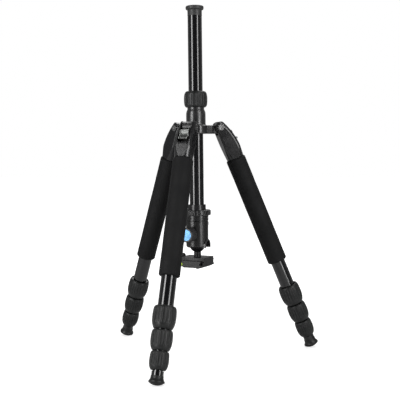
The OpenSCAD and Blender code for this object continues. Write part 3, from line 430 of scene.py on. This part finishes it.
class TRIPOD_OT_feet(bpy.types.Operator):
    """Moulds a flared rubber foot with tread rings on the end of each leg"""

    bl_idname = "tripod.feet"
    bl_label = "Rubber feet"

    def execute(self, context):
        for leg in LEGS:
            point, axis = hinge_line(f"{leg}_twist_3_turn")
            axis = -axis
            profile = self.profile(*span(f"{leg}_foot", point, axis), settings().tread_rings)
            shell = capped(spun(profile, point, axis, 96))
            foot = piece(f"{leg}_rubber_foot", [shell], f"{leg}_section_4")
            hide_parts(f"{leg}_foot")
        return {"FINISHED"}

    def profile(self, low, high, rim, rings):
        """Half section of a foot, from the floor of its socket round to the middle of its sole.

        The skirt is a hollow arc that starts along the neck and ends at the rim. The sole is part
        of a sphere, less a groove: the top of a sine of the distance from the middle, with one
        wave for each tread ring, left out near the middle and near the rim.
        """
        neck, bore, socket_floor = 0.0101, 0.00952, low + 0.00646
        flare, flare_start = 0.009, low + 0.12 * (high - low)
        sole_radius, groove_depth, pole = 0.020, 0.0005, 0.0006
        sole_centre = high - sole_radius
        rim_z = sole_centre + math.sqrt(sole_radius**2 - rim**2)
        turn = math.degrees(math.acos((neck + flare - rim) / flare))
        reach = np.linspace(rim, pole, 60)
        dome = sole_centre + np.sqrt(sole_radius**2 - reach**2)
        groove = groove_depth * np.clip(np.sin(reach / rim * rings * TURN) * 2 - 0.6, 0, 1)
        groove *= (reach < 0.93 * rim) & (reach > 0.2 * rim)
        return np.vstack([
            [[pole, socket_floor], [bore, socket_floor], [bore, low + 0.0004]],
            [[bore + 0.0001, low], [neck - 0.0001, low], [neck, low + 0.0002]],
            arc(neck + flare, flare_start, flare, 180, 180 - turn, 16),
            [[rim - 0.00005, rim_z - 0.0012], [rim, rim_z - 0.0006]],
            np.stack([reach, dome - groove], axis=1),
        ])


class TRIPOD_OT_knob_disc(bpy.types.Operator):
    """Turns the dished anodised disc in the face of the main knob"""

    bl_idname = "tripod.knob_disc"
    bl_label = "Knob disc"

    def execute(self, context):
        point, axis = hinge_line("main_knob_turn")
        profile = self.profile(*span("main_knob_disc", point, axis))
        shell = capped(spun(profile, point, axis, 96))
        disc = piece("knob_disc", [shell], "main_knob")
        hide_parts("main_knob_disc")
        finish = Finish("Blue anodised disc", tuple(settings().disc_colour), 0.28, metallic=0.75)
        ring = finish.node(
            "ShaderNodeTexWave",
            {"Vector": finish.mapped(point, axis), "Scale": 1600.0},
            wave_type="RINGS", rings_direction="Z",
        ).outputs["Fac"]
        finish.bump(ring, 0.000008, 0.3)
        finish.rough(finish.spread(ring, 0, 1, 0.3, 0.4))
        finish.paint(disc)
        return {"FINISHED"}

    def profile(self, low, high, rim):
        """Half section of the disc: a rounded edge round a flat face that lies a little lower.

        The face rises and falls as a cosine of the distance from its middle, once for each
        turning mark, and is plain in the middle.
        """
        edge, dish, pole = 0.0004, 0.00035, 0.0002
        mark_height, mark_pitch, plain_radius = 0.00002, 0.0008, 0.002
        reach = np.linspace(rim - edge, pole, 70)[2:]
        marks = mark_height * np.cos(reach / mark_pitch * TURN) * (reach > plain_radius)
        return np.vstack([
            [[pole, low], [rim, low], [rim, high - edge]],
            arc(rim - edge, high - edge, edge, 0, 90, 6),
            np.stack([reach, high - dish + marks], axis=1),
        ])


class TRIPOD_OT_bubble(bpy.types.Operator):
    """Fits the bubble level: a rim, tinted liquid under a lens, and a ring mark of thin wire"""

    bl_idname = "tripod.bubble"
    bl_label = "Bubble level"

    def execute(self, context):
        axis = -unit(JOINTS["plate_slide"]["axis"])
        point = vertices_of("bubble_level").mean(0)
        lens, ring, mark = self.sections(*span("bubble_level", point, axis))
        liquid = piece("bubble_liquid", [capped(spun(lens, point, axis, 64))], "jaw")
        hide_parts("bubble_level")
        holder = piece("bubble_rim", [torus(spun(ring, point, axis, 64))], "jaw")
        circle = piece("bubble_mark", [torus(spun(mark, point, axis, 48))], "jaw")
        colour = tuple(settings().bubble_colour)
        finish = Finish("Tinted glowing level liquid", colour, 0.08, Transmission_Weight=0.25, IOR=1.45)
        # Painted glow: the liquid gives off its own colour at a quarter strength, so it looks lit
        # though it is no lamp.
        finish.shader.inputs["Emission Color"].default_value = (*colour, 1)
        finish.shader.inputs["Emission Strength"].default_value = 0.25
        cloud = finish.spread(finish.noise(260), 0.35, 0.65, 0, 1)
        finish.colours(cloud, colour, tuple(0.85 * c for c in colour))
        finish.paint(liquid)
        rim_finish = Finish("Level rim", (0.03, 0.03, 0.032), 0.3)
        rim_finish.grain(900, 0.00002, 0.4)
        rim_finish.paint(holder, circle)
        return {"FINISHED"}

    def sections(self, low, high, rim):
        """Half sections of the lens, the rim and the mark.

        The lens is a cylinder under a part of a sphere, the rim a ring with straight sides and
        bevelled corners, and the mark a circle of thin round wire.
        """
        lens_edge, rim_bore, pole = rim - 0.0006, rim - 0.0007, 0.0001
        lens_radius, lens_centre = 0.0070, high - 0.0072
        seat, shoulder = low + 0.001, high - 0.0004
        mark_radius, mark_height, wire = 0.0017, high - 0.00035, 0.00012
        lens = np.vstack([
            [[pole, low], [lens_edge, low], [lens_edge, high - 0.0009]],
            arc(0, lens_centre, lens_radius, 65, 89.5, 14),
        ])
        ring = [
            [rim_bore, seat], [rim, seat], [rim, shoulder],
            [rim - 0.0003, high], [rim - 0.0006, high], [rim_bore, shoulder],
        ]
        return lens, ring, arc(mark_radius, mark_height, wire, 0, 330, 12)


class TRIPOD_OT_camera_screw(bpy.types.Operator):
    """Cuts the thread and the slotted head of the camera screw"""

    bl_idname = "tripod.camera_screw"
    bl_label = "Camera screw"

    HEAD_HEIGHT, SLOT_DEPTH, SLOT_WIDTH = 0.0038, 0.0018, 0.0016
    EASE, BEVEL, POLE = 0.0002, 0.0003, 0.0002

    def execute(self, context):
        point, axis = hinge_line("camera_screw_turn")
        low, high, head = span("camera_screw", point, axis)
        shells = [
            capped(spun(self.head_section(low, head), point, axis, 72)),
            self.shank(low, high, point, axis),
            *(self.half_head(low, head, point, axis, turned) for turned in (1, -1)),
        ]
        screw = piece("tripod_screw", shells, "camera_screw")
        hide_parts("camera_screw")
        return {"FINISHED"}

    def head_section(self, low, head):
        """Half section of the head above the slot's floor: straight lines, with a bevelled edge."""
        floor, end = low + self.SLOT_DEPTH, low + self.HEAD_HEIGHT
        return [
            (self.POLE, floor), (head - self.EASE, floor), (head, floor + self.EASE),
            (head, end - self.BEVEL), (head - self.BEVEL, end), (self.POLE, end),
        ]

    def shank(self, low, high, point, axis):
        """The threaded shank, which starts a little inside the head.

        The radius falls by the thread's depth along a groove that climbs one pitch per turn. It
        falls evenly by the same depth at the tip, and by the relief at the neck.
        """
        crest, pitch, depth = 0.003175, 0.00127, 0.00068
        neck_end, neck_relief, neck_taper = high - 0.0043, 0.000825, 0.0003
        tip, sunk = 0.0009, 0.0003
        rise = np.linspace(low + self.HEAD_HEIGHT - sunk, high, 160)
        wall = np.stack([np.full_like(rise, crest), rise], axis=1)
        profile = np.vstack([[[self.POLE, rise[0]]], wall, [[self.POLE, high]]])

        def thread(r, z, angle):
            phase = np.mod(z / pitch - angle / TURN, 1.0)
            groove = np.clip(2.4 * (1 - np.abs(2 * phase - 1)) - 0.8, 0, 1)
            end = np.clip((z - (high - tip)) / tip, 0, 1) * depth
            neck = (1 - np.clip((z - neck_end) / neck_taper, 0, 1)) * neck_relief
            cut = np.maximum(np.maximum(depth * groove, end), neck)
            return np.where(r > self.POLE, r - cut, r)

        return capped(spun(profile, point, axis, 72, thread))

    def half_head(self, low, head, point, axis, turned):
        """The head's half on one side of the slot, as a stack of arcs that the slot cuts off.

        Each point is the head's radius less an inset, times the cosine across and the sine out of
        an even angle, but no nearer to the slot's middle than its half width plus the inset.
        """
        side, other, forward = basis(axis)
        start = math.asin(self.SLOT_WIDTH / 2 / head)
        sweep = np.linspace(start, math.pi - start, 37)
        stack = (
            (low, self.BEVEL), (low + self.BEVEL, 0.0),
            (low + self.SLOT_DEPTH + self.EASE, self.EASE),
        )
        layers = []
        for station, inset in stack:
            across, out = (head - inset) * np.cos(sweep), (head - inset) * np.sin(sweep)
            out = np.maximum(out, self.SLOT_WIDTH / 2 + inset)
            flat = turned * (across[:, None] * side + out[:, None] * other)
            layers.append(point + station * forward + flat)
        return capped(np.array(layers))


class TRIPOD_OT_metal(bpy.types.Operator):
    """Finishes the castings, tubes, turned parts and bright metal"""

    bl_idname = "tripod.metal"
    bl_label = "Metal finishes"

    def execute(self, context):
        self.castings()
        for leg in LEGS:
            point, axis = hinge_line(f"{leg}_twist_1_turn")
            tubes = [f"{leg}_tube_{number}" for number in (1, 2, 3, 4)]
            self.tube(f"Black {leg} leg tube", point, axis).paint(*tubes)
        column = self.tube("Black column tube", (0, 0, 0), (0, 0, 1))
        column.paint("column_long_tube", "column_short_tube")
        self.machined()
        self.housing()
        self.bright()
        return {"FINISHED"}

    def castings(self):
        """Black on the shoulders, and a rougher, slightly paler black on the spider."""
        cast = Finish("Black cast finish", (0.004, 0.004, 0.0045), 0.24, Specular_IOR_Level=0.5)
        cast.soften(0.0022)
        cast.grain(900, 0.00002, 0.35, detail=4.0)
        cast.mottle(60, 0.2, 0.28, detail=4.0)
        cast.paint(*leg_nodes("shoulder"))
        neck = Finish(
            "Black cast neck finish", (0.006, 0.006, 0.0065), 0.32, Specular_IOR_Level=0.75
        )
        neck.soften(0.0014)
        neck.grain(900, 0.00002, 0.35, detail=4.0)
        neck.mottle(60, 0.28, 0.36, detail=4.0)
        neck.paint("spider")

    def tube(self, name, point, axis):
        """Glossy black anodising with faint draw lines along the tube."""
        finish = Finish(name, (0.004, 0.004, 0.0045), 0.16, Specular_IOR_Level=0.6)
        drawn = finish.noise(1.0, vector=finish.mapped(point, axis, (900, 900, 5)))
        finish.rough(finish.spread(drawn, 0.3, 0.7, 0.12, 0.2))
        return finish

    def machined(self):
        """Turned rings, the satin end cap, and the milled clamp, plate and ball."""
        turned = Finish("Black turned finish", (0.008, 0.008, 0.0085), 0.3, metallic=0.1)
        turned.soften(0.0004)
        ring = turned.node(
            "ShaderNodeTexWave", {"Vector": turned.coords, "Scale": 700.0, "Distortion": 0.4},
            wave_type="BANDS", bands_direction="Z",
        ).outputs["Fac"]
        turned.bump(ring, 0.000006, 0.5)
        turned.mottle(80, 0.22, 0.32)
        turned.paint("column_joiner", "head_platform", "pan_base")
        satin = Finish("Satin cap finish", (0.02, 0.0205, 0.0205), 0.5, Specular_IOR_Level=0.45)
        satin.soften(0.0004)
        satin.grain(1100, 0.00002, 0.4)
        satin.mottle(90, 0.44, 0.56)
        satin.paint("column_cap")
        milled = Finish(
            "Black milled finish", (0.005, 0.005, 0.0055), 0.3, Specular_IOR_Level=0.27
        )
        milled.soften(0.0005)
        milled.grain(1200, 0.00001, 0.4)
        milled.mottle(70, 0.26, 0.4)
        milled.paint("clamp_body", "clamp_jaw", "release_plate", "ball")

    def housing(self):
        """Leather grain on the ball's housing: raised, paler and glossier cells."""
        leather = Finish("Leather grained housing", (0.02, 0.02, 0.02), 0.42)
        leather.soften(0.0005)
        cells = leather.cells(1500, feature="DISTANCE_TO_EDGE")
        leather.bump(leather.spread(cells, 0.0, 0.25, 0.0, 1.0), 0.00005, 0.4)
        paler = leather.spread(cells, 0.0, 0.2, 0.0, 1.0)
        leather.colours(paler, (0.003, 0.003, 0.003), (0.006, 0.006, 0.0058))
        leather.rough(leather.spread(cells, 0.0, 0.25, 0.32, 0.19))
        leather.paint("head_housing")

    def bright(self):
        """The satin silver tabs, the dark steel stud and screw, and the bright pivot bolts."""
        silver = Finish("Satin silver", (0.14, 0.145, 0.14), 0.4, metallic=1.0)
        silver.soften(0.0005)
        silver.grain(1400, 0.000003, 0.35)
        silver.mottle(120, 0.34, 0.46, detail=4.0)
        silver.paint(*leg_nodes("angle_lock"))
        steel = Finish("Dark steel", (0.17, 0.17, 0.17), 0.28, metallic=1.0)
        steel.soften(0.0003)
        steel.grain(800, 0.000003, 0.4)
        steel.mottle(90, 0.24, 0.36)
        steel.paint("head_stud", bpy.data.objects["tripod_screw"])
        bolt = Finish("Bright steel", (0.36, 0.36, 0.36), 0.24, metallic=1.0)
        bolt.soften(0.0003)
        bolt.mottle(90, 0.2, 0.3)
        bolt.paint("pivot_bolts")


class TRIPOD_OT_soft_parts(bpy.types.Operator):
    """Finishes the rubber grips, feet, knobs and nylon parts"""

    bl_idname = "tripod.soft_parts"
    bl_label = "Rubber and plastic finishes"

    def execute(self, context):
        rubber = Finish("Black grip rubber", (0.006, 0.0063, 0.0063), 0.5, Specular_IOR_Level=0.36)
        rubber.soften(0.0004)
        rubber.grain(1100, 0.00002, 0.4, detail=4.0)
        dust = rubber.spread(rubber.noise(40, 5.0), 0.35, 0.7, 0, 1)
        rubber.colours(dust, (0.0045, 0.005, 0.005), (0.0085, 0.009, 0.0088))
        rubber.mottle(150, 0.38, 0.5)
        rubber.paint(
            *leg_nodes("twist_lock_1", "twist_lock_2", "twist_lock_3"),
            "column_collar", "plate_pad",
            *[bpy.data.objects[f"{leg}_rubber_foot"] for leg in LEGS],
        )
        knob = Finish("Black knob plastic", (0.014, 0.014, 0.015), 0.36)
        knob.soften(0.0004)
        knob.grain(1300, 0.00003, 0.4)
        knob.mottle(100, 0.3, 0.44)
        knob.paint("main_knob", "pan_knob", "clamp_knob")
        nylon = Finish("Grey nylon", (0.05, 0.05, 0.052), 0.5)
        nylon.grain(700, 0.00003, 0.4)
        nylon.paint("column_bush")
        cup = Finish("Pale nylon", (0.6, 0.57, 0.48), 0.45)
        cup.grain(700, 0.00003, 0.4)
        cup.paint("pressure_cup")
        return {"FINISHED"}


class TRIPOD_OT_stage(bpy.types.Operator):
    """Lays the pale floor, sets the lamps and places the camera"""

    bl_idname = "tripod.stage"
    bl_label = "Stage"

    def execute(self, context):
        chosen = settings().stage
        self.camera(context, chosen)
        self.floor(context, chosen)
        self.world(context)
        for lamp in LAMPS:
            self.lamp(context, *lamp)
        context.scene.view_settings.view_transform = "Standard"
        return {"FINISHED"}

    def camera(self, context, chosen):
        """Turns the fitted view angles and the front leg's bearing into the camera's matrix."""
        pitch, pan, roll = (math.radians(a) for a in (VIEW_PITCH, VIEW_PAN, VIEW_ROLL))
        ahead = Vector((
            math.sin(pan) * math.cos(pitch), math.cos(pan) * math.cos(pitch), -math.sin(pitch)
        ))
        right = Vector((math.cos(pan), -math.sin(pan), 0))
        up = right.cross(ahead)
        turned_right = math.cos(roll) * right + math.sin(roll) * up
        turned_up = -math.sin(roll) * right + math.cos(roll) * up
        turn = Matrix((turned_right, turned_up, -ahead)).transposed()
        bearing = Matrix.Rotation(math.radians(VIEW_BEARING), 3, "Z")
        data = bpy.data.cameras.new("Camera")
        data.sensor_fit = "HORIZONTAL"
        data.sensor_width = 36
        data.lens = chosen.lens
        data.clip_start, data.clip_end = 0.05, 30
        camera = bpy.data.objects.new("Camera", data)
        place = Matrix.Translation(chosen.camera_place)
        camera.matrix_world = place @ (bearing @ turn).to_4x4()
        context.scene.collection.objects.link(camera)
        context.scene.camera = camera

    def floor(self, context, chosen):
        """A matt floor that glows only to the camera: less near the tripod than far from it."""
        signs = ((-1, -1), (1, -1), (1, 1), (-1, 1))
        corners = [(FLOOR_REACH * x, FLOOR_REACH * y, 0) for x, y in signs]
        mesh = bpy.data.meshes.new("Floor")
        mesh.from_pydata(corners, [], [(0, 1, 2, 3)])
        floor = bpy.data.objects.new("Floor", mesh)
        context.scene.collection.objects.link(floor)
        material = bpy.data.materials.new("Floor")
        tree = empty_tree(material)
        matt = add_node(tree, "ShaderNodeBsdfDiffuse", {"Color": (*chosen.floor_colour, 1)})
        seen = add_node(tree, "ShaderNodeLightPath").outputs["Is Camera Ray"]
        place = add_node(tree, "ShaderNodeTexCoord").outputs["Object"]
        away = add_node(tree, "ShaderNodeVectorMath", {0: place}, operation="LENGTH")
        fade = ranged(
            tree, away.outputs["Value"], 0.3, 1.3, 0.62, 1.0, interpolation_type="SMOOTHSTEP"
        )
        level = add_node(tree, "ShaderNodeMath", {0: seen, 1: fade}, operation="MULTIPLY")
        glow = add_node(tree, "ShaderNodeEmission", {"Strength": level.outputs[0]})
        both = add_node(tree, "ShaderNodeAddShader", {0: matt.outputs[0], 1: glow.outputs[0]})
        add_node(tree, "ShaderNodeOutputMaterial", {"Surface": both.outputs[0]})
        mesh.materials.append(material)

    def world(self, context):
        """White to the camera and through the level's liquid, and grey in what it lights.

        In reflections it is dark on the camera's side and grey behind the tripod.
        """
        world = bpy.data.worlds.new("Studio")
        context.scene.world = world
        tree = empty_tree(world)
        path = add_node(tree, "ShaderNodeLightPath").outputs
        seen = add_node(
            tree, "ShaderNodeMath",
            {0: path["Is Camera Ray"], 1: path["Is Transmission Ray"]}, operation="MAXIMUM",
        )
        way = add_node(tree, "ShaderNodeTexCoord").outputs["Generated"]
        facing = add_node(
            tree, "ShaderNodeVectorMath", {0: way, 1: TOWARDS_CAMERA}, operation="DOT_PRODUCT"
        )
        shade = ranged(
            tree, facing.outputs["Value"], -0.6, 0.8, 0.34, 0.02, interpolation_type="SMOOTHSTEP"
        )
        dim = ranged(tree, path["Is Glossy Ray"], 0.0, 1.0, 0.3, shade)
        level = ranged(tree, seen.outputs[0], 0.0, 1.0, dim, 1.0)
        back = add_node(
            tree, "ShaderNodeBackground", {"Color": (1, 1, 1, 1), "Strength": level}
        )
        add_node(tree, "ShaderNodeOutputWorld", {"Surface": back.outputs[0]})

    def lamp(self, context, name, distance, azimuth, height, size, power):
        """An area lamp at an azimuth from the camera's own side, aimed at the tripod."""
        bearing = math.radians(VIEW_BEARING - 90 + azimuth)
        place = Vector((distance * math.cos(bearing), distance * math.sin(bearing), height))
        data = bpy.data.lights.new(name, "AREA")
        data.shape = "RECTANGLE"
        data.size, data.size_y = size
        data.energy = power
        lamp = bpy.data.objects.new(name, data)
        lamp.location = place
        lamp.rotation_euler = (LAMP_AIM - place).to_track_quat("-Z", "Y").to_euler()
        context.scene.collection.objects.link(lamp)


STEPS = (
    TRIPOD_OT_stage, TRIPOD_OT_foam, TRIPOD_OT_feet, TRIPOD_OT_knob_disc, TRIPOD_OT_bubble,
    TRIPOD_OT_camera_screw, TRIPOD_OT_metal, TRIPOD_OT_soft_parts,
)


class TRIPOD_PT_panel(bpy.types.Panel):
    """Lists the dressing steps of the tripod"""

    bl_idname = "TRIPOD_PT_panel"
    bl_label = "Tripod"
    bl_space_type = "VIEW_3D"
    bl_region_type = "UI"
    bl_category = "Tripod"

    def draw(self, context):
        chosen = context.scene.tripod
        column = self.layout.column()
        for name in ("disc_colour", "bubble_colour", "tread_rings"):
            column.prop(chosen, name)
        for name in ("camera_place", "lens", "floor_colour"):
            column.prop(chosen.stage, name)
        for name in ("colour", "end_round"):
            column.prop(chosen.foam, name)
        for step in STEPS:
            column.operator(step.bl_idname)


CLASSES = (StageSettings, FoamSettings, TripodSettings, *STEPS, TRIPOD_PT_panel)


def register():
    """Adds the classes, and the settings to every scene."""
    for cls in CLASSES:
        bpy.utils.register_class(cls)
    bpy.types.Scene.tripod = PointerProperty(
        name="Tripod", description="Sizes and colours of the tripod's dressing", type=TripodSettings
    )


def unregister():
    """Takes the settings and the classes away again."""
    del bpy.types.Scene.tripod
    for cls in reversed(CLASSES):
        bpy.utils.unregister_class(cls)


def main():
    """Dresses the tripod."""
    register()
    bpy.ops.tripod.stage()
    bpy.ops.tripod.foam()
    bpy.ops.tripod.feet()
    bpy.ops.tripod.knob_disc()
    bpy.ops.tripod.bubble()
    bpy.ops.tripod.camera_screw()
    bpy.ops.tripod.metal()
    bpy.ops.tripod.soft_parts()


if __name__ == "__main__":
    main()
